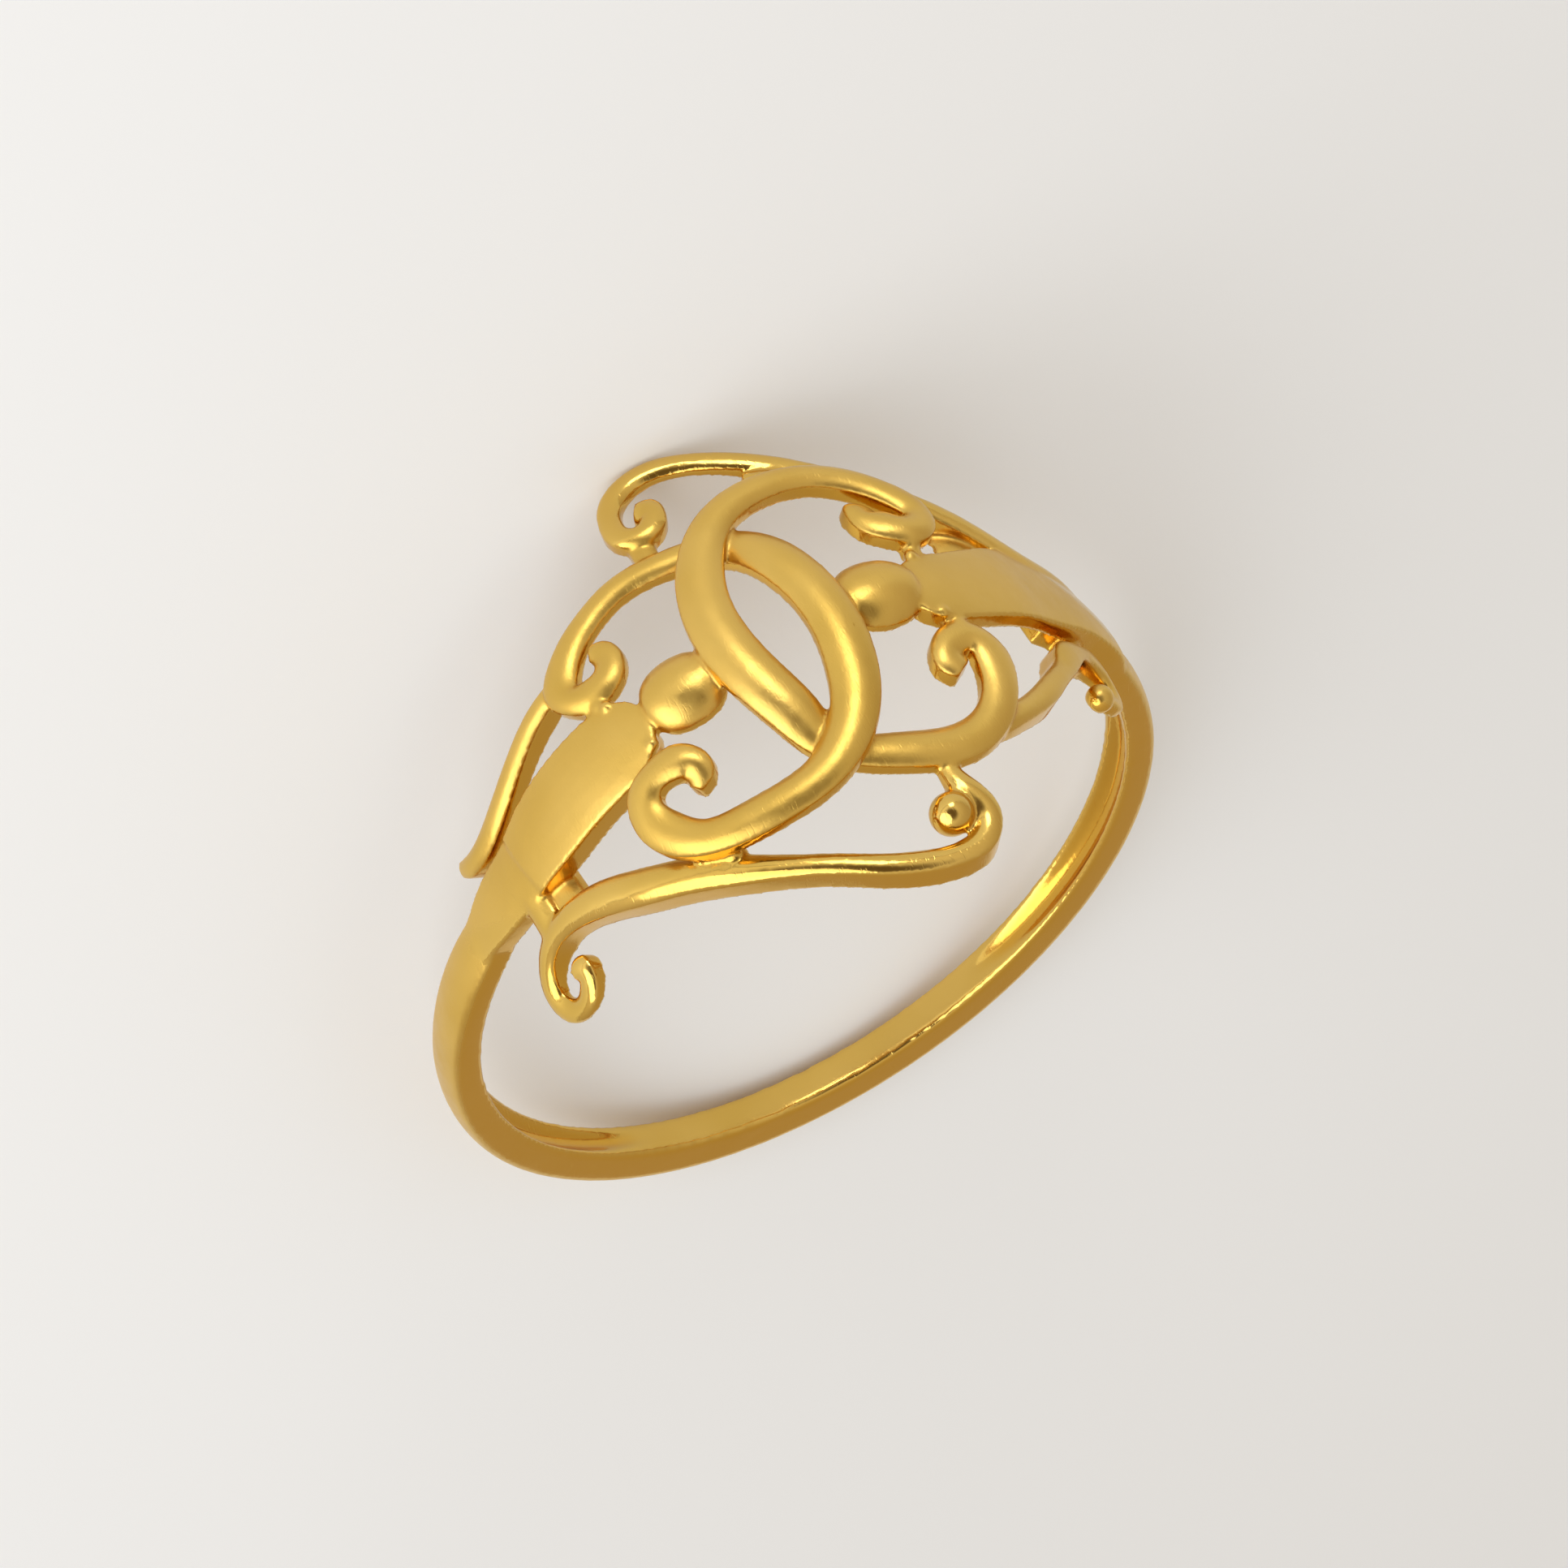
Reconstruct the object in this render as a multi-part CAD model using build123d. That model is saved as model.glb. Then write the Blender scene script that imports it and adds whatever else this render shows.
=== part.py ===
from build123d import *
from math import atan2, cos, degrees, radians, sin
import os

# Finger ring, in millimetres. It is modelled about its own axes: X runs sideways along the head, Y points
# from the middle of the finger to the head, and Z is the axis of the finger. At the end it is laid on its
# side.

# Bore and shank
bore_radius = 8.5
shank_thickness = 1.0
shank_width = 0.95
shank_crown = 0.15
trough_radius = 0.35
trough_depth = 0.37
trough_middle = 107.0
trough_shift = 1.21

# Dome that the top surfaces of the head lie on
head_rise = 2.05
head_radius = bore_radius + head_rise
head_half_angle = 57.3
head_half_width = 6.25
end_drop = 0.86
side_drop = 1.40
relief = 1.0

# Strands of the openwork
scroll_width = 1.25
scroll_depth = 0.56
rail_width = 0.52
rail_depth = 0.55
outer_rail_depth = 0.80
strand_crown = 0.22

# Plates, beads and joints
plate_width = 2.05
plate_depth = 0.62
plate_crown = 0.06
bead_length = 1.9
bead_width = 1.85
bead_height = 0.74
bead_crown = 0.28
knob_radius = 0.46

# Shank sections: angle from the head in degrees, width as a share of the shank's, thickness at the edges
SHANK = [
    (47, 0.62, 0.50),
    (52, 0.90, 0.52),
    (58, 1.15, 0.56),
    (67, 1.33, 0.63),
    (78, 1.31, 0.68),
    (90, 1.24, 0.73),
    (105, 1.16, 0.80),
    (120, 1.09, 0.87),
    (135, 1.03, 0.93),
    (150, 0.98, 0.98),
    (165, 0.95, 1.00),
    (180, 0.94, 1.00),
]

# Strand sections: place along the head's half and across its half width, width as a share of the strand's,
# lift of the top off the dome as a share of the relief, depth as a share of the strand's
FIRST_SCROLL = [
    (-0.326, 0.343, 0.24, 0.02, 1.00),
    (-0.311, 0.323, 0.50, 0.10, 1.00),
    (-0.299, 0.282, 0.66, 0.20, 1.00),
    (-0.312, 0.236, 0.66, 0.28, 1.00),
    (-0.368, 0.218, 0.61, 0.30, 1.00),
    (-0.424, 0.250, 0.64, 0.30, 1.00),
    (-0.442, 0.342, 0.76, 0.30, 1.00),
    (-0.419, 0.437, 0.81, 0.33, 1.00),
    (-0.366, 0.522, 0.70, 0.38, 1.00),
    (-0.282, 0.566, 0.74, 0.42, 1.00),
    (-0.186, 0.582, 0.75, 0.44, 1.00),
    (-0.086, 0.570, 0.77, 0.45, 1.00),
    (0.001, 0.500, 0.85, 0.45, 1.00),
    (0.063, 0.389, 0.91, 0.45, 1.00),
    (0.105, 0.223, 0.97, 0.48, 1.00),
    (0.123, 0.028, 0.97, 0.50, 1.00),
    (0.115, -0.170, 0.95, 0.45, 1.00),
    (0.088, -0.343, 0.90, 0.30, 1.00),
    (0.043, -0.464, 0.74, 0.05, 1.00),
    (-0.022, -0.527, 0.59, -0.12, 1.00),
    (-0.117, -0.559, 0.54, -0.15, 0.80),
    (-0.213, -0.571, 0.53, -0.15, 0.75),
    (-0.318, -0.526, 0.53, -0.12, 0.75),
    (-0.413, -0.434, 0.61, -0.05, 0.85),
    (-0.459, -0.318, 0.67, 0.00, 1.00),
    (-0.424, -0.246, 0.62, 0.00, 1.00),
    (-0.370, -0.238, 0.62, -0.02, 0.90),
    (-0.332, -0.293, 0.59, -0.08, 0.90),
    (-0.335, -0.368, 0.51, -0.12, 0.90),
    (-0.360, -0.387, 0.27, -0.15, 0.90),
]
SECOND_SCROLL = [
    (0.383, -0.428, 0.40, 0.00, 1.00),
    (0.358, -0.394, 0.62, 0.08, 1.00),
    (0.366, -0.352, 0.68, 0.14, 1.00),
    (0.391, -0.304, 0.68, 0.20, 1.00),
    (0.426, -0.268, 0.64, 0.24, 1.00),
    (0.476, -0.300, 0.61, 0.26, 1.00),
    (0.484, -0.381, 0.59, 0.26, 1.00),
    (0.453, -0.465, 0.58, 0.28, 1.00),
    (0.398, -0.553, 0.56, 0.30, 1.00),
    (0.315, -0.625, 0.54, 0.34, 1.00),
    (0.218, -0.648, 0.56, 0.38, 1.00),
    (0.118, -0.626, 0.61, 0.42, 1.00),
    (0.027, -0.556, 0.70, 0.45, 1.00),
    (-0.045, -0.422, 0.86, 0.45, 1.00),
    (-0.092, -0.237, 0.96, 0.48, 1.00),
    (-0.103, -0.044, 1.02, 0.50, 1.00),
    (-0.085, 0.149, 1.02, 0.45, 1.00),
    (-0.055, 0.315, 0.96, 0.30, 1.00),
    (-0.024, 0.436, 0.80, 0.05, 1.00),
    (0.031, 0.510, 0.70, -0.12, 1.00),
    (0.113, 0.562, 0.78, -0.15, 1.00),
    (0.207, 0.602, 0.83, -0.15, 1.00),
    (0.305, 0.602, 0.78, -0.12, 1.00),
    (0.389, 0.534, 0.70, -0.05, 1.00),
    (0.437, 0.413, 0.72, 0.00, 1.00),
    (0.444, 0.294, 0.69, 0.00, 1.00),
    (0.411, 0.225, 0.64, -0.02, 1.00),
    (0.356, 0.241, 0.62, -0.08, 1.00),
    (0.338, 0.303, 0.62, -0.12, 1.00),
    (0.360, 0.354, 0.45, -0.15, 1.00),
]
NEAR_RAIL = [
    (-0.881, 0.410, 0.77, -0.62, 1.00),
    (-0.855, 0.442, 1.04, -0.62, 1.00),
    (-0.876, 0.489, 1.08, -0.62, 1.00),
    (-0.929, 0.512, 1.10, -0.62, 1.00),
    (-0.980, 0.482, 1.12, -0.60, 1.00),
    (-0.997, 0.399, 1.08, -0.58, 1.00),
    (-0.954, 0.322, 1.00, -0.55, 1.00),
    (-0.874, 0.284, 1.08, -0.50, 1.00),
    (-0.770, 0.302, 1.35, -0.42, 1.00),
    (-0.671, 0.360, 1.65, -0.33, 1.08),
    (-0.563, 0.455, 1.70, -0.22, 1.15),
    (-0.459, 0.546, 1.65, -0.12, 1.15),
    (-0.356, 0.650, 1.45, -0.04, 1.08),
    (-0.255, 0.752, 1.12, 0.02, 1.00),
    (-0.156, 0.842, 1.04, 0.08, 1.00),
    (-0.057, 0.927, 1.08, 0.12, 1.00),
    (0.039, 0.979, 1.12, 0.12, 1.00),
    (0.123, 0.998, 1.12, 0.12, 1.00),
    (0.206, 0.969, 1.19, 0.10, 1.00),
    (0.240, 0.890, 1.19, 0.05, 1.00),
    (0.225, 0.806, 1.12, 0.00, 0.90),
    (0.209, 0.749, 1.04, -0.10, 0.70),
    (0.204, 0.699, 0.96, -0.22, 0.50),
    (0.205, 0.650, 0.77, -0.35, 0.40),
]
FAR_RAIL = [
    (-0.082, -0.846, 0.69, 0.00, 1.00),
    (-0.053, -0.816, 1.35, 0.00, 1.00),
    (-0.061, -0.753, 1.19, -0.03, 1.00),
    (-0.108, -0.723, 1.08, -0.05, 1.00),
    (-0.146, -0.766, 1.08, 0.00, 1.00),
    (-0.148, -0.842, 1.08, 0.03, 1.00),
    (-0.127, -0.921, 1.08, 0.05, 0.90),
    (-0.070, -0.982, 1.08, 0.08, 0.75),
    (0.009, -0.999, 1.08, 0.10, 0.65),
    (0.105, -0.955, 1.04, 0.10, 0.60),
    (0.204, -0.875, 1.04, 0.05, 0.70),
    (0.305, -0.777, 1.04, -0.03, 1.00),
    (0.407, -0.646, 1.04, -0.08, 1.00),
    (0.524, -0.510, 1.04, -0.14, 1.00),
    (0.660, -0.350, 1.08, -0.19, 1.00),
    (0.818, -0.204, 1.08, -0.24, 1.00),
    (0.930, -0.176, 1.04, -0.21, 1.00),
    (1.020, -0.136, 1.04, -0.19, 1.00),
    (1.100, -0.112, 0.96, -0.23, 1.00),
]
FAR_SHORT_RAIL = [
    (-0.432, -0.404, 0.88, -0.25, 0.80),
    (-0.488, -0.385, 0.92, -0.28, 0.90),
    (-0.557, -0.361, 0.96, -0.32, 0.95),
    (-0.635, -0.316, 1.00, -0.38, 0.85),
    (-0.725, -0.256, 1.06, -0.42, 0.80),
    (-0.840, -0.206, 1.10, -0.48, 0.88),
    (-0.961, -0.215, 1.04, -0.52, 1.00),
    (-1.008, -0.259, 0.73, -0.58, 1.00),
]
NEAR_SHORT_RAIL = [
    (0.320, 0.588, 0.77, -0.30, 0.50),
    (0.358, 0.585, 0.96, -0.26, 0.60),
    (0.409, 0.569, 1.08, -0.26, 0.70),
    (0.467, 0.538, 1.12, -0.30, 0.75),
    (0.542, 0.490, 1.16, -0.36, 0.85),
    (0.626, 0.416, 1.18, -0.42, 0.95),
    (0.730, 0.309, 1.15, -0.48, 1.00),
    (0.851, 0.193, 1.00, -0.50, 1.00),
    (0.950, 0.160, 0.92, -0.57, 1.00),
    (1.025, 0.192, 0.88, -0.60, 1.00),
    (1.045, 0.272, 0.85, -0.62, 1.00),
    (1.000, 0.333, 0.81, -0.66, 1.00),
    (0.960, 0.336, 0.69, -0.70, 1.00),
]

# Leaf plates on the shoulders, and the tail that runs out on the shank behind the left one's end crease,
# in the same columns, as shares of the plate's sizes
LEFT_PLATE = [
    (-0.328, 0.000, 0.36, -0.05, 1.20),
    (-0.345, 0.000, 0.66, -0.03, 1.25),
    (-0.385, -0.002, 0.92, -0.06, 1.30),
    (-0.450, -0.004, 1.04, -0.11, 1.30),
    (-0.610, -0.003, 1.03, -0.26, 1.30),
    (-0.720, 0.004, 0.95, -0.37, 1.30),
    (-0.800, 0.012, 0.86, -0.44, 1.30),
]
LEFT_TAIL = [
    (-0.740, 0.008, 0.84, -0.47, 1.00),
    (-0.800, 0.010, 0.84, -0.48, 1.00),
    (-0.860, 0.008, 0.82, -0.51, 1.00),
    (-0.930, 0.002, 0.77, -0.49, 1.00),
    (-1.000, 0.000, 0.67, -0.43, 1.00),
    (-1.100, 0.000, 0.50, -0.31, 1.00),
    (-1.200, 0.000, 0.42, -0.28, 1.00),
]
RIGHT_PLATE = [
    (0.328, 0.000, 0.36, -0.03, 0.95),
    (0.345, 0.000, 0.66, -0.01, 0.95),
    (0.385, 0.000, 0.88, -0.02, 0.95),
    (0.450, -0.004, 0.98, -0.07, 0.95),
    (0.610, -0.030, 1.05, -0.17, 0.90),
    (0.700, -0.050, 1.08, -0.24, 0.90),
    (0.800, -0.045, 1.00, -0.29, 0.90),
    (0.900, -0.035, 0.86, -0.24, 1.00),
    (1.000, -0.020, 0.72, -0.16, 1.00),
    (1.100, 0.000, 0.62, -0.06, 1.00),
    (1.200, 0.000, 0.56, -0.05, 1.00),
]
PLATES = [LEFT_PLATE, LEFT_TAIL, RIGHT_PLATE]

# Low bridges, webs and necks that tie the strands together, in the same columns
SHOULDER_BRIDGE = [
    (-0.840, 0.096, 1.40, -0.54, 1.00),
    (-0.845, 0.200, 1.40, -0.54, 1.00),
    (-0.855, 0.296, 1.40, -0.52, 1.00),
]
LEFT_WEB = [
    (-0.785, 0.096, 2.00, -0.88, 1.00),
    (-0.785, 0.304, 2.00, -0.85, 1.00),
]
RIGHT_WEB = [
    (0.915, 0.056, 0.96, -0.74, 1.00),
    (0.915, 0.192, 0.96, -0.78, 1.00),
]
FAR_WEB = [
    (0.640, -0.096, 2.88, -0.58, 0.60),
    (0.660, -0.400, 2.88, -0.55, 0.60),
]
NEAR_NECK = [
    (0.195, 0.768, 0.77, -0.25, 0.70),
    (0.170, 0.800, 0.77, -0.25, 0.70),
]
FAR_NECK = [
    (-0.118, -0.712, 1.15, -0.25, 1.00),
    (-0.125, -0.568, 1.15, -0.30, 1.00),
]
FAR_TIE = [
    (0.190, -0.775, 0.80, -0.15, 0.60),
    (0.250, -0.735, 1.15, -0.12, 0.60),
    (0.360, -0.640, 1.15, -0.15, 0.60),
    (0.450, -0.530, 0.90, -0.15, 0.60),
]
JOINTS = [SHOULDER_BRIDGE, LEFT_WEB, RIGHT_WEB, FAR_WEB, NEAR_NECK, FAR_NECK, FAR_TIE]

# Egg beads: place along and across, lift of the crest, size as a share of the bead's
EGG_BEADS = [
    (-0.231, -0.018, 0.26, 1.00),
    (0.264, -0.034, 0.28, 1.02),
]

# Egg bead sections: place along its half length, width and height as shares of the bead's
EGG_SHAPE = [
    (-1.00, 0.34, 0.58),
    (-0.85, 0.66, 0.76),
    (-0.50, 0.92, 0.93),
    (0.00, 1.00, 1.00),
    (0.50, 0.92, 0.93),
    (0.85, 0.66, 0.76),
    (1.00, 0.34, 0.58),
]

# Small beads: place along and across, lift of the middle, radius as a share of the curl's knob
SMALL_BEADS = [
    (0.156, 0.845, -0.32, 1.12),
    (0.199, 0.776, -0.35, 0.55),
    (-0.389, -0.145, -0.18, 0.36),
    (-0.350, 0.092, -0.18, 0.38),
    (0.381, 0.118, -0.18, 0.38),
    (0.398, -0.157, -0.18, 0.36),
    (-0.400, -0.175, -0.32, 0.55),
    (0.410, 0.185, -0.32, 0.55),
    (0.420, -0.195, -0.32, 0.55),
    (-0.345, 0.600, -0.40, 0.75),
    (0.925, 0.335, -0.90, 0.74),
]


def outward(along):
    """The direction straight away from the axis of the finger, at a place along the head."""
    angle = radians(along * head_half_angle)
    return Vector(sin(angle), cos(angle), 0)


def dome_radius(along, across, lift):
    """How far from the axis the head's top is, raised by a share of the relief."""
    angle = radians(along * head_half_angle)
    return head_radius - end_drop * angle**2 - side_drop * across**2 + lift * relief


def on_dome(along, across, lift):
    """A point on the head's top, at shares of its half length and half width."""
    return outward(along) * dome_radius(along, across, lift) + Vector(0, 0, across * head_half_width)


def arched_section(top, side, up, width, depth, crown):
    """A flat-bottomed section with straight walls and an arched top, its crest at the point top."""
    half = side * width / 2
    low = top - up * depth
    edge = top - up * crown
    outline = [
        Line(low - half, low + half),
        Line(low + half, edge + half),
        ThreePointArc(edge + half, top, edge - half),
        Line(edge - half, low - half),
    ]
    return make_face(outline)


def strand(rows, full_width, full_depth, crown_share=strand_crown):
    """A strand of the openwork or a plate, lofted along the dome through a section for each row."""
    tops = [on_dome(along, across, lift) for along, across, width, lift, depth in rows]
    sections = []
    for index, (along, across, width, lift, depth) in enumerate(rows):
        ahead = tops[min(index + 1, len(tops) - 1)] - tops[max(index - 1, 0)]
        up = outward(along)
        side = up.cross(ahead).normalized()
        crown = crown_share * width * full_width
        sections.append(
            arched_section(tops[index], side, up, width * full_width, depth * full_depth, crown)
        )
    return loft(sections)


def shank():
    """The slim band, from one shoulder round the bottom to the other."""
    left = [(360 - angle, width, thickness) for angle, width, thickness in reversed(SHANK[:-1])]
    sections = []
    for angle, width, thickness in SHANK + left:
        up = outward(angle / head_half_angle)
        top = up * (bore_radius + thickness * shank_thickness + shank_crown)
        depth = thickness * shank_thickness + 2 * shank_crown
        sections.append(
            arched_section(top, Vector(0, 0, 1), up, width * shank_width, depth, shank_crown)
        )
    return loft(sections)


def egg_bead(along, across, lift, size):
    """A domed egg-shaped bead between a plate and the crossing scrolls."""
    up = outward(along)
    ahead = up.cross(Vector(0, 0, 1))
    bottom = on_dome(along, across, lift) - up * bead_height
    sections = []
    for place, width, height in EGG_SHAPE:
        top = bottom + ahead * place * size * bead_length / 2 + up * height * bead_height
        full_width = width * size * bead_width
        crown = bead_crown * full_width
        sections.append(
            arched_section(top, Vector(0, 0, 1), up, full_width, height * bead_height, crown)
        )
    return loft(sections)


def small_bead(along, across, lift, radius):
    """A small round bead at a corner, a curl's end or a joint, its seam over its crest."""
    crest = 90 - along * head_half_angle
    return Pos(on_dome(along, across, lift)) * Rot(0, 0, crest) * Sphere(radius)


def trough(side):
    """The hollow along the inside of one side of the shank, running out at both its ends."""
    ring_radius = bore_radius + trough_depth - trough_radius - trough_shift
    angle = radians(trough_middle)
    place = Vector(side * sin(angle), cos(angle), 0) * trough_shift
    return Pos(place) * Torus(ring_radius, trough_radius)


def openwork():
    """The head's scrolls, rails and beads."""
    work = strand(FIRST_SCROLL, scroll_width, scroll_depth)
    work += strand(SECOND_SCROLL, scroll_width, scroll_depth)
    work += strand(NEAR_RAIL, rail_width, outer_rail_depth)
    work += strand(FAR_RAIL, rail_width, rail_depth)
    work += strand(FAR_SHORT_RAIL, rail_width, outer_rail_depth)
    work += strand(NEAR_SHORT_RAIL, rail_width, outer_rail_depth)
    for rows in JOINTS:
        work += strand(rows, rail_width, rail_depth)
    for along, across, lift, size in EGG_BEADS:
        work += egg_bead(along, across, lift, size)
    for along, across, lift, radius in SMALL_BEADS:
        work += small_bead(along, across, lift, radius * knob_radius)
    return work


def band():
    """The shank with the plates on its shoulders."""
    band = shank()
    for rows in PLATES:
        band += strand(rows, plate_width, plate_depth, plate_crown)
    return band


def casting():
    """The whole ring about its own axes, bored for the finger."""
    ring = openwork() + band()
    ring -= Cylinder(bore_radius, 4 * head_half_width)
    for side in (-1, 1):
        ring -= trough(side)
    return ring


def laid_down(ring):
    """The ring on its side, on the head's edge and the shank's bottom, centred over the origin."""
    rise = head_half_width + rail_width / 2 - shank_width / 2
    reach = head_radius - side_drop - rail_depth / 2 + bore_radius + shank_thickness
    ring = Rot(degrees(atan2(rise, reach)), 0, 0) * ring
    box = ring.bounding_box()
    return Pos(-box.center().X, -box.center().Y, -box.min.Z) * ring


ring = casting()
os.makedirs("parts", exist_ok=True)
export_step(laid_down(ring), "parts/ring.step")
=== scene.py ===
from math import radians

import bpy
import numpy as np
from mathutils import Matrix, Vector


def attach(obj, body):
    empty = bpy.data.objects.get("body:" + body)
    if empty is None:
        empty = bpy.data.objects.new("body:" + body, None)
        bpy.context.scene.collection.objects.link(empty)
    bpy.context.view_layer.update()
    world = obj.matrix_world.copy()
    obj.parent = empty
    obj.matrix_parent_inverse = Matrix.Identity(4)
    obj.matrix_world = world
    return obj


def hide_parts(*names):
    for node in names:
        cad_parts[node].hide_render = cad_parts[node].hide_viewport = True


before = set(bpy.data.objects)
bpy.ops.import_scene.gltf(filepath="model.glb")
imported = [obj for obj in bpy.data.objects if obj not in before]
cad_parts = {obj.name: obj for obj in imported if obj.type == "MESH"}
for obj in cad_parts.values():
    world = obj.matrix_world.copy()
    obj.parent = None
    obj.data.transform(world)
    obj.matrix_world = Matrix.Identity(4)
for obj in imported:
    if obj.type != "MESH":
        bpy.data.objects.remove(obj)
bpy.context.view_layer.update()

MM = 0.001

# How the ring lies: the lean of the finger's axis and the middle of the finger, in metres
LYING_ANGLE = radians(18.18)
FINGER_CENTRE = Vector((0.0, -0.000969, 0.003433))

# How the camera sees the ring, in the ring's own axes, and where it aims from the finger's middle, in metres
LOOK_RIGHT = Vector((0.871, -0.043, 0.489))
LOOK_UP = Vector((0.433, 0.537, -0.724))
CAMERA_DISTANCE = 0.25
CAMERA_LENS = 248.9
CAMERA_SENSOR = 36.0
AIM_ACROSS = -0.00028
AIM_UP = 0.002443

# The floor
FLOOR_SIZE = 1.2
FLOOR_PAINT = (0.90, 0.93, 0.97, 1)
FLOOR_ROUGHNESS = 0.7

# The room's light: its dim side, its bright side, and the part behind the camera, with where that begins
ROOM_DIM = (0.54, 0.46, 0.36, 1)
ROOM_BRIGHT = (1.20, 1.18, 1.14, 1)
ROOM_BEHIND_CAMERA = (0.16, 0.12, 0.08, 1)
BEHIND_CAMERA_EDGE = 0.74
BEHIND_CAMERA_CORE = 0.96
BRIGHT_SIDE = Vector((-0.52, 0.74, 0.42))
BRIGHT_SPREAD = 3.0
LAMP_COLOUR = (0.95, 0.975, 1.0)
SIDE_LAMP = Vector((-0.75, 0.30, 0.59))

# The skin of the casting: grid in millimetres, triangles, and the passes that soften its edges
JOIN_DISTANCE = 0.000001
SKIN_GRID = 0.055
SKIN_FACES = 185000
SOFTENING = 0.5
EDGE_ROUNDS = 5
SHANK_ROUNDS = 36
SHANK_START = 1.02
SHANK_BLEND = 0.25
WEAR_STEPS = 10

# The head's half angle in radians and its half width in millimetres
HEAD_HALF_ANGLE = 1.0
HEAD_HALF_WIDTH = 6.25

# Where the bright rails begin, as shares of the head: their inner line, its slope and highest place, and
# how far they reach round the ring
RAIL_LINE = 0.93
RAIL_SLOPE = 0.9
RAIL_HIGHEST = 0.72
RAIL_BLEND = 0.04
RAIL_REACH = 1.1

# Where side walls begin, by how far they turn from facing outwards, and the finger's wall in millimetres
WALL_TURN = 0.45
WALL_BLEND = 0.3
FINGER_WALL = 8.60
FINGER_WALL_BLEND = 0.08

# How far hollows spread over the skin, and how sharply it bends in a full hollow and at a full ridge
HOLLOW_SPREAD = 6
HOLLOW_BEND = 0.22
RIDGE_BEND = 0.30
SHORTEST_EDGE = 1e-6

# Gold: two tones on the broad tops, a painted shade for the side walls and the hollows, and a painted
# highlight for the ridges
TOP_DEEP = (0.68, 0.435, 0.088, 1)
TOP_PALE = (0.75, 0.495, 0.12, 1)
WALL_SHADE_COLOUR = (0.72, 0.40, 0.045, 1)
HOLLOW_SHADE_COLOUR = (0.60, 0.27, 0.035, 1)
RIDGE_HIGHLIGHT_COLOUR = (0.88, 0.61, 0.19, 1)
WALL_SHADE_SHARE = 0.8
RIDGE_HIGHLIGHT_SHARE = 0.5

# Roughness, lowest and highest, of the satin and the polished work, and what a hollow adds
SATIN_ROUGHNESS = (0.30, 0.38)
POLISHED_ROUGHNESS = (0.10, 0.19)
HOLLOW_ROUGHNESS = 0.10

# Sizes of the finish's patterns, in millimetres
CLOUD_SIZE = 3.0
# Size of the uneven patches of the painted shade in the hollows
SHADE_PATCH_SIZE = 0.5
SATIN_SIZE = 0.35
POLISH_SIZE = 1.1
GRAIN_SIZE = 0.05
WAVE_SIZE = 0.9
STROKE_SIZE = 0.06

# Relief of the finish: its depth in millimetres, the waves' and the strokes' share of it, and the strokes'
# stretch and turn
RELIEF_DEPTH = 0.002
WAVE_HEIGHT = 6.0
STROKE_DEPTH = -0.5
STROKE_STRETCH = (1.0, 0.04, 0.3)
STROKE_TURN = (0.4, 0.2, 0.9)


def laid(direction):
    """A direction in the ring's own axes, turned as the ring lies on the floor."""
    return Matrix.Rotation(LYING_ANGLE, 3, "X") @ direction


# Camera, floor and light

def add_camera():
    """A camera at the photograph's angle to the ring, with a long lens; gives its up and back."""
    right = laid(LOOK_RIGHT).normalized()
    up = laid(LOOK_UP)
    up = (up - right * up.dot(right)).normalized()
    back = right.cross(up)
    place = FINGER_CENTRE + back * CAMERA_DISTANCE
    aim = FINGER_CENTRE + right * AIM_ACROSS + up * AIM_UP
    back = (place - aim).normalized()
    up = back.cross(right).normalized()
    right = up.cross(back)
    camera = bpy.data.cameras.new("camera")
    camera.lens = CAMERA_LENS
    camera.sensor_width = CAMERA_SENSOR
    camera.clip_start = 0.02
    camera.clip_end = 10.0
    holder = bpy.data.objects.new("camera", camera)
    turn = Matrix((right, up, back)).transposed()
    holder.matrix_world = Matrix.Translation(place) @ turn.to_4x4()
    bpy.context.scene.collection.objects.link(holder)
    bpy.context.scene.camera = holder
    return up, back


def add_floor():
    """A plain pale floor under the ring."""
    bpy.ops.object.select_all(action="DESELECT")
    bpy.ops.mesh.primitive_plane_add(size=FLOOR_SIZE, location=(0, 0, 0))
    floor = bpy.context.object
    floor.name = "floor"
    paint = bpy.data.materials.new("pale_floor")
    paint.use_nodes = True
    shader = paint.node_tree.nodes["Principled BSDF"]
    shader.inputs["Base Color"].default_value = FLOOR_PAINT
    shader.inputs["Roughness"].default_value = FLOOR_ROUGHNESS
    floor.data.materials.append(paint)


def add_soft_light(name, direction, distance, size, power):
    """A round soft light shining on the ring from a direction."""
    direction = direction.normalized()
    lamp = bpy.data.lights.new(name, "AREA")
    lamp.shape = "DISK"
    lamp.size = size
    lamp.energy = power
    lamp.color = LAMP_COLOUR
    holder = bpy.data.objects.new(name, lamp)
    holder.location = FINGER_CENTRE + direction * distance
    holder.rotation_euler = direction.to_track_quat("Z", "Y").to_euler()
    bpy.context.scene.collection.objects.link(holder)


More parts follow.
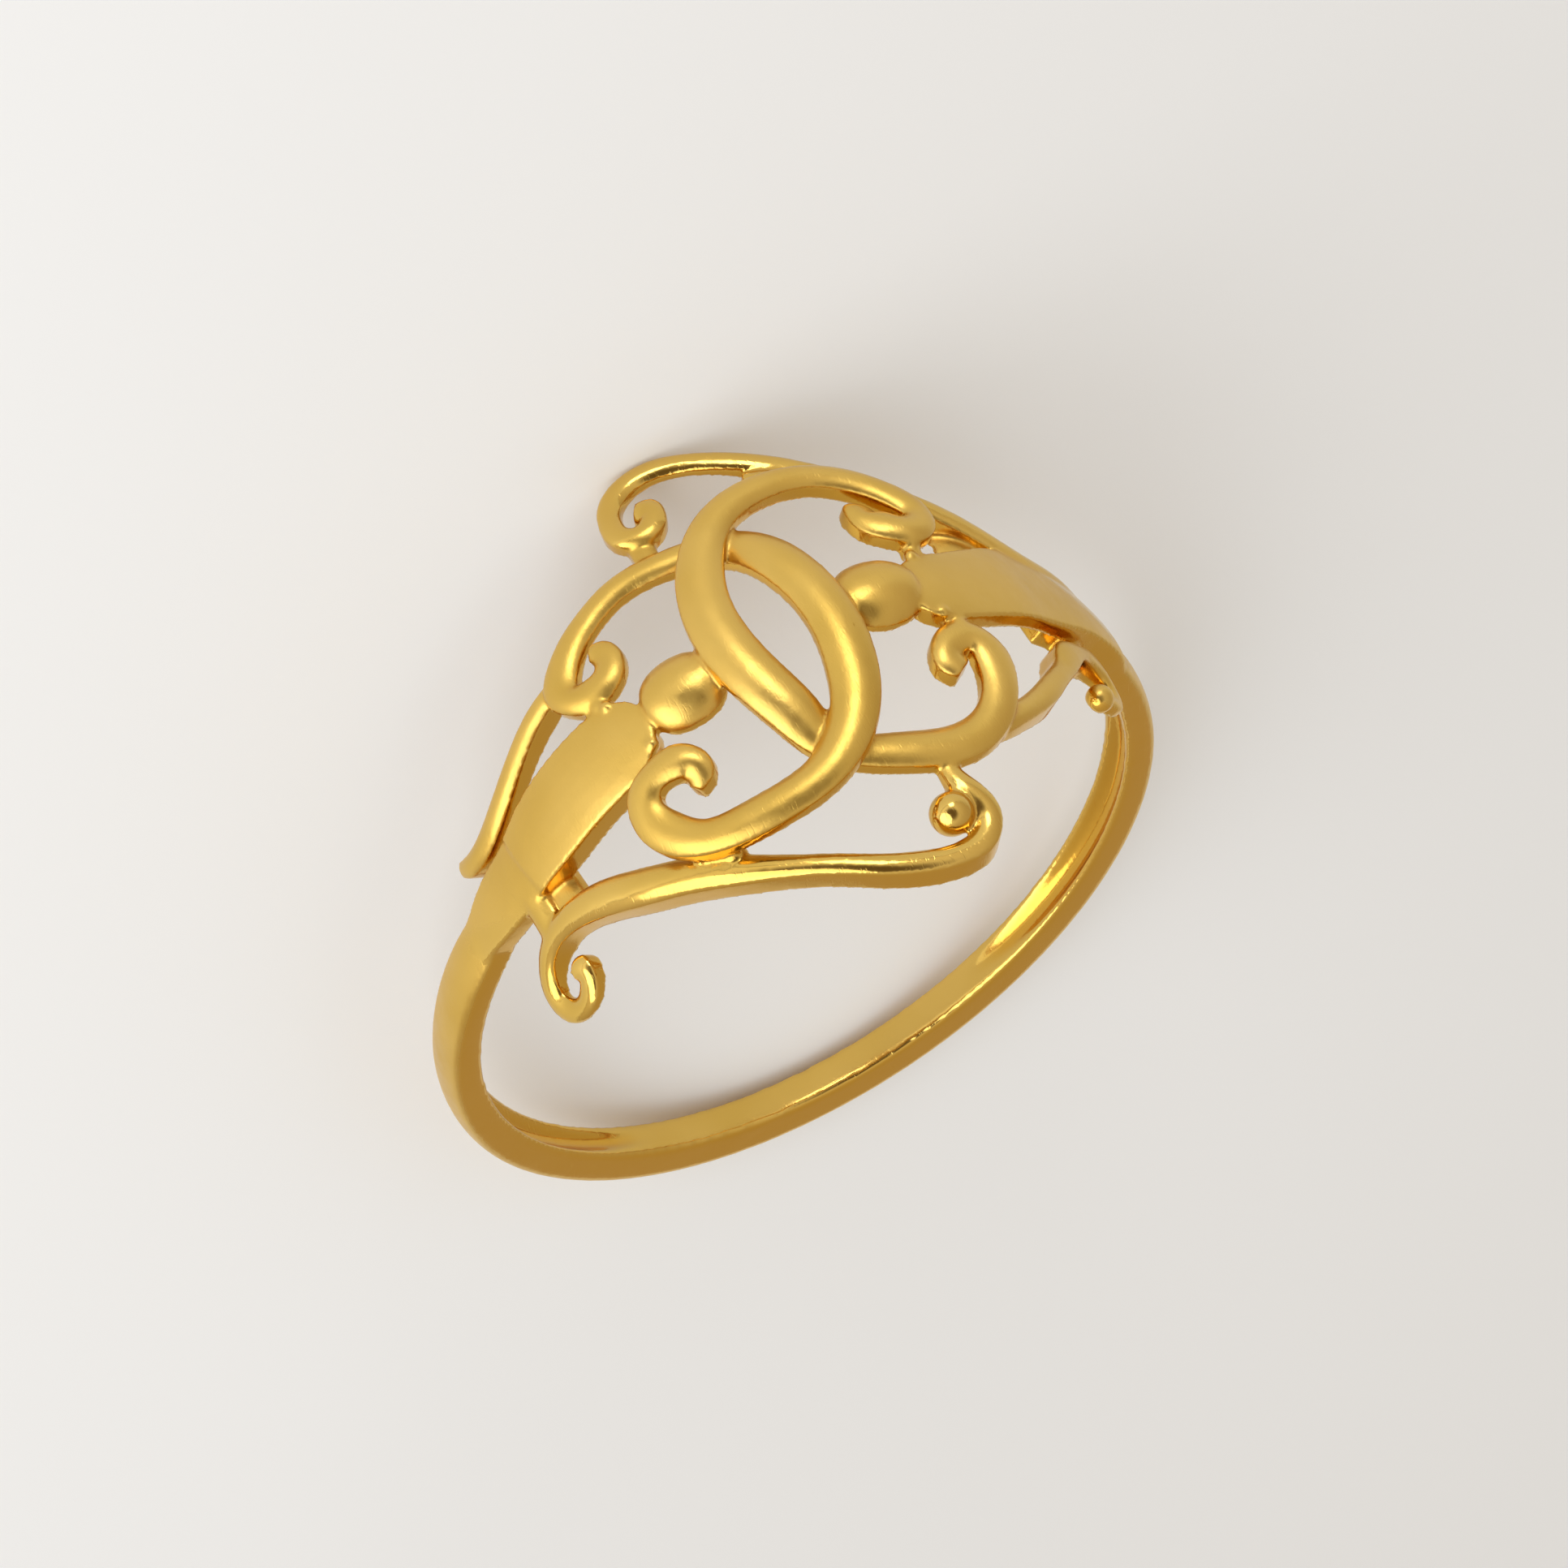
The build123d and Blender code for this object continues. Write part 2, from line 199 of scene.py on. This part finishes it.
def light_room(camera_side):
    """A warm grey room, brighter on one side and dark behind the camera, so that the metal shows its form."""
    room = bpy.data.worlds.new("warm_room")
    room.use_nodes = True
    nodes, links = room.node_tree.nodes, room.node_tree.links
    heading = nodes.new("ShaderNodeTexCoord").outputs["Generated"]

    def closeness(direction, low, high, kind):
        toward = nodes.new("ShaderNodeVectorMath")
        toward.operation = "DOT_PRODUCT"
        toward.inputs[1].default_value = direction.normalized()
        links.new(heading, toward.inputs[0])
        share = nodes.new("ShaderNodeMapRange")
        share.interpolation_type = kind
        share.inputs["From Min"].default_value = low
        share.inputs["From Max"].default_value = high
        links.new(toward.outputs["Value"], share.inputs["Value"])
        return share.outputs["Result"]

    bright = nodes.new("ShaderNodeMath")
    bright.operation = "POWER"
    bright.inputs[1].default_value = BRIGHT_SPREAD
    links.new(closeness(BRIGHT_SIDE, -1.0, 1.0, "LINEAR"), bright.inputs[0])
    behind = closeness(camera_side, BEHIND_CAMERA_EDGE, BEHIND_CAMERA_CORE, "SMOOTHSTEP")
    walls = blend_colours(room, bright.outputs["Value"], ROOM_DIM, ROOM_BRIGHT)
    walls = blend_colours(room, behind, walls, ROOM_BEHIND_CAMERA)
    links.new(walls, nodes["Background"].inputs["Color"])
    bpy.context.scene.world = room
    bpy.context.scene.view_settings.view_transform = "Standard"


def blend_colours(owner, share, first, second):
    """Mixes two colours, fixed or worked out, by a share, among the nodes of a room or a metal."""
    nodes, links = owner.node_tree.nodes, owner.node_tree.links
    mix = nodes.new("ShaderNodeMix")
    mix.data_type = "RGBA"
    links.new(share, mix.inputs["Factor"])
    colours = [socket for socket in mix.inputs if socket.type == "RGBA"]
    for socket, value in zip(colours, (first, second)):
        if isinstance(value, tuple):
            socket.default_value = value
        else:
            links.new(value, socket)
    return [socket for socket in mix.outputs if socket.type == "RGBA"][0]


camera_up, camera_back = add_camera()
add_floor()
light_room(camera_back)
add_soft_light("side_lamp", SIDE_LAMP, distance=0.16, size=0.18, power=0.17)
window_side = camera_up * 0.74 + camera_back * 0.67
add_soft_light("window", window_side, distance=0.12, size=0.05, power=0.027)


# The ring

def casting_copy(node):
    """A copy of a solid's mesh with its loose triangles joined, to be worked over as wax would be."""
    bpy.ops.object.select_all(action="DESELECT")
    copy = bpy.data.objects.new("ring_casting", node.data.copy())
    bpy.context.scene.collection.objects.link(copy)
    copy.select_set(True)
    bpy.context.view_layer.objects.active = copy
    bpy.ops.object.mode_set(mode="EDIT")
    bpy.ops.mesh.select_all(action="SELECT")
    bpy.ops.mesh.remove_doubles(threshold=JOIN_DISTANCE)
    bpy.ops.object.mode_set(mode="OBJECT")
    return copy


def apply_modifier(piece, kind, **settings):
    """A modifier put on a piece with its settings, and applied."""
    modifier = piece.modifiers.new(kind.lower(), kind)
    for name, value in settings.items():
        setattr(modifier, name, value)
    bpy.ops.object.modifier_apply(modifier=modifier.name)


def places_and_normals(piece, unit=1.0):
    """The mesh's points in the ring's own axes, in millimetres, and their normals; unit is its metres."""
    count = len(piece.data.vertices)
    places = np.empty(count * 3)
    normals = np.empty(count * 3)
    piece.data.vertices.foreach_get("co", places)
    piece.data.vertex_normals.foreach_get("vector", normals)
    turn = np.array(Matrix.Rotation(-LYING_ANGLE, 3, "X"))
    centre = np.array(FINGER_CENTRE)
    return (places.reshape(-1, 3) * unit - centre) @ turn.T / MM, normals.reshape(-1, 3) @ turn.T


def smooth_casting(piece):
    """Turns the faceted copy into an even skin with softened edges, worked in millimetres."""
    piece.data.transform(Matrix.Scale(1 / MM, 4))
    apply_modifier(piece, "REMESH", mode="VOXEL", voxel_size=SKIN_GRID)
    apply_modifier(piece, "SMOOTH", factor=SOFTENING, iterations=EDGE_ROUNDS)
    places = places_and_normals(piece, MM)[0]
    turn = np.abs(np.arctan2(places[:, 0], places[:, 1]))
    wear = np.clip((turn - SHANK_START) / SHANK_BLEND, 0, 1)
    worn = piece.vertex_groups.new(name="worn_shank")
    for step in range(1, WEAR_STEPS + 1):
        points = np.flatnonzero(np.round(wear * WEAR_STEPS) == step)
        worn.add(points.tolist(), step / WEAR_STEPS, "REPLACE")
    apply_modifier(
        piece, "SMOOTH", factor=SOFTENING, iterations=SHANK_ROUNDS, vertex_group=worn.name
    )
    apply_modifier(piece, "DECIMATE", ratio=min(1.0, SKIN_FACES / (2 * len(piece.data.polygons))))
    piece.data.transform(Matrix.Scale(MM, 4))
    bpy.ops.object.shade_smooth()


def paint_mask(piece, name, values):
    """Keeps a number for each point of the mesh, for the material to read."""
    mask = piece.data.attributes.new(name, "FLOAT", "POINT")
    mask.data.foreach_set("value", np.clip(values, 0.0, 1.0).astype(np.float32))


def mask_bright_work(piece):
    """Marks the rails, curls' ends and side walls, which are polished bright, against the satin tops; the
    side walls are also marked for a painted shade.
    """
    places, normals = places_and_normals(piece)
    angle = np.arctan2(places[:, 0], places[:, 1])
    along = angle / HEAD_HALF_ANGLE
    across = places[:, 2] / HEAD_HALF_WIDTH
    outward = normals[:, 0] * np.sin(angle) + normals[:, 1] * np.cos(angle)
    near_edge = np.minimum(RAIL_LINE + RAIL_SLOPE * along, RAIL_HIGHEST)
    far_edge = np.minimum(RAIL_LINE - RAIL_SLOPE * along, RAIL_HIGHEST)
    rail = np.maximum(across - near_edge, -across - far_edge)
    rail = np.clip(rail / RAIL_BLEND + 0.5, 0, 1) * (np.abs(along) < RAIL_REACH)
    wall = np.clip((WALL_TURN - outward) / WALL_BLEND, 0, 1)
    paint_mask(piece, "bright_work", np.maximum(rail, wall))
    # The side walls, except the finger's wall, are kept apart for a painted shade in the colour.
    finger_wall = (FINGER_WALL - np.hypot(places[:, 0], places[:, 1])) / FINGER_WALL_BLEND
    paint_mask(piece, "side_wall_shade", wall * (1 - np.clip(finger_wall, 0, 1)))


def mask_hollows(piece):
    """Marks the hollows, which get a painted shade and the roughness of places that a polishing wheel doesn't
    reach, and the ridges, which get a painted highlight.
    """
    mesh = piece.data
    count = len(mesh.vertices)
    ends = np.empty(len(mesh.edges) * 2, dtype=np.int64)
    mesh.edges.foreach_get("vertices", ends)
    ends = ends.reshape(-1, 2)
    places, normals = places_and_normals(piece)
    step = places[ends[:, 1]] - places[ends[:, 0]]
    length = np.maximum(np.linalg.norm(step, axis=1), SHORTEST_EDGE)
    rise_first = (step * normals[ends[:, 0]]).sum(1) / length
    rise_last = -(step * normals[ends[:, 1]]).sum(1) / length
    share = np.maximum(np.bincount(ends.ravel(), minlength=count), 1)
    bend = np.bincount(ends[:, 0], rise_first, count) + np.bincount(ends[:, 1], rise_last, count)
    bend = bend / share
    for _ in range(HOLLOW_SPREAD):
        total = np.bincount(ends[:, 0], bend[ends[:, 1]], count)
        total += np.bincount(ends[:, 1], bend[ends[:, 0]], count)
        bend = 0.5 * bend + 0.5 * total / share
    paint_mask(piece, "hollow", bend / HOLLOW_BEND)
    paint_mask(piece, "ridge", -bend / RIDGE_BEND)


def gold():
    """Yellow gold: satin on the broad tops, polished on rails and walls, with a painted shade deepening the
    colour on the side walls and in the hollows and a painted highlight on the ridges.
    """
    metal = bpy.data.materials.new("yellow_gold")
    metal.use_nodes = True
    nodes, links = metal.node_tree.nodes, metal.node_tree.links
    shader = nodes["Principled BSDF"]
    shader.inputs["Metallic"].default_value = 1.0
    place = nodes.new("ShaderNodeTexCoord").outputs["Object"]

    def mask(name):
        node = nodes.new("ShaderNodeAttribute")
        node.attribute_name = name
        return node.outputs["Fac"]

    def noise(size, detail=2.0, source=place):
        node = nodes.new("ShaderNodeTexNoise")
        node.inputs["Scale"].default_value = 1 / (size * MM)
        node.inputs["Detail"].default_value = detail
        links.new(source, node.inputs["Vector"])
        return node.outputs["Fac"]

    def spread(value, low, high, to_low, to_high):
        node = nodes.new("ShaderNodeMapRange")
        node.inputs["From Min"].default_value = low
        node.inputs["From Max"].default_value = high
        node.inputs["To Min"].default_value = to_low
        node.inputs["To Max"].default_value = to_high
        links.new(value, node.inputs["Value"])
        return node.outputs["Result"]

    def work(kind, first, second):
        node = nodes.new("ShaderNodeMath")
        node.operation = kind
        for socket, value in zip(node.inputs, (first, second)):
            if isinstance(value, float):
                socket.default_value = value
            else:
                links.new(value, socket)
        return node.outputs["Value"]

    bright, wall = mask("bright_work"), mask("side_wall_shade")
    hollow, ridge = mask("hollow"), mask("ridge")
    cloud = spread(noise(CLOUD_SIZE), 0.35, 0.65, 0.0, 1.0)
    patchy_shade = spread(noise(SHADE_PATCH_SIZE), 0.3, 0.7, 0.7, 1.0)
    colour = blend_colours(metal, cloud, TOP_DEEP, TOP_PALE)
    # Painted shade: the side walls get a deeper, darker orange.
    colour = blend_colours(metal, work("MULTIPLY", wall, WALL_SHADE_SHARE), colour, WALL_SHADE_COLOUR)
    # Painted shade: the hollows get a darker, redder gold, in uneven patches.
    colour = blend_colours(metal, work("MULTIPLY", hollow, patchy_shade), colour, HOLLOW_SHADE_COLOUR)
    # Painted highlight: the ridges get a paler, brighter gold.
    colour = blend_colours(metal, work("MULTIPLY", ridge, RIDGE_HIGHLIGHT_SHARE), colour, RIDGE_HIGHLIGHT_COLOUR)
    links.new(colour, shader.inputs["Base Color"])

    satin = spread(noise(SATIN_SIZE, 4.0), 0.3, 0.7, *SATIN_ROUGHNESS)
    polished = spread(noise(POLISH_SIZE, 3.0), 0.3, 0.7, *POLISHED_ROUGHNESS)
    gloss = nodes.new("ShaderNodeMix")
    links.new(bright, gloss.inputs["Factor"])
    links.new(satin, gloss.inputs["A"])
    links.new(polished, gloss.inputs["B"])
    rough = work("ADD", gloss.outputs["Result"], work("MULTIPLY", hollow, HOLLOW_ROUGHNESS))
    links.new(rough, shader.inputs["Roughness"])

    stretched = nodes.new("ShaderNodeMapping")
    stretched.inputs["Scale"].default_value = STROKE_STRETCH
    stretched.inputs["Rotation"].default_value = STROKE_TURN
    links.new(place, stretched.inputs["Vector"])
    streaks = noise(STROKE_SIZE, 1.0, stretched.outputs["Vector"])
    strokes = spread(streaks, 0.60, 0.66, 0.0, STROKE_DEPTH)
    grain = work("MULTIPLY", noise(GRAIN_SIZE, 3.0), work("SUBTRACT", 1.0, bright))
    waves = work("MULTIPLY", noise(WAVE_SIZE), WAVE_HEIGHT)
    surface = nodes.new("ShaderNodeBump")
    surface.inputs["Distance"].default_value = RELIEF_DEPTH * MM
    links.new(work("ADD", work("ADD", grain, waves), strokes), surface.inputs["Height"])
    links.new(surface.outputs["Normal"], shader.inputs["Normal"])
    return metal


casting = casting_copy(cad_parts["ring"])
smooth_casting(casting)
mask_bright_work(casting)
mask_hollows(casting)
casting.data.materials.clear()
casting.data.materials.append(gold())
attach(casting, "root")
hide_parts("ring")
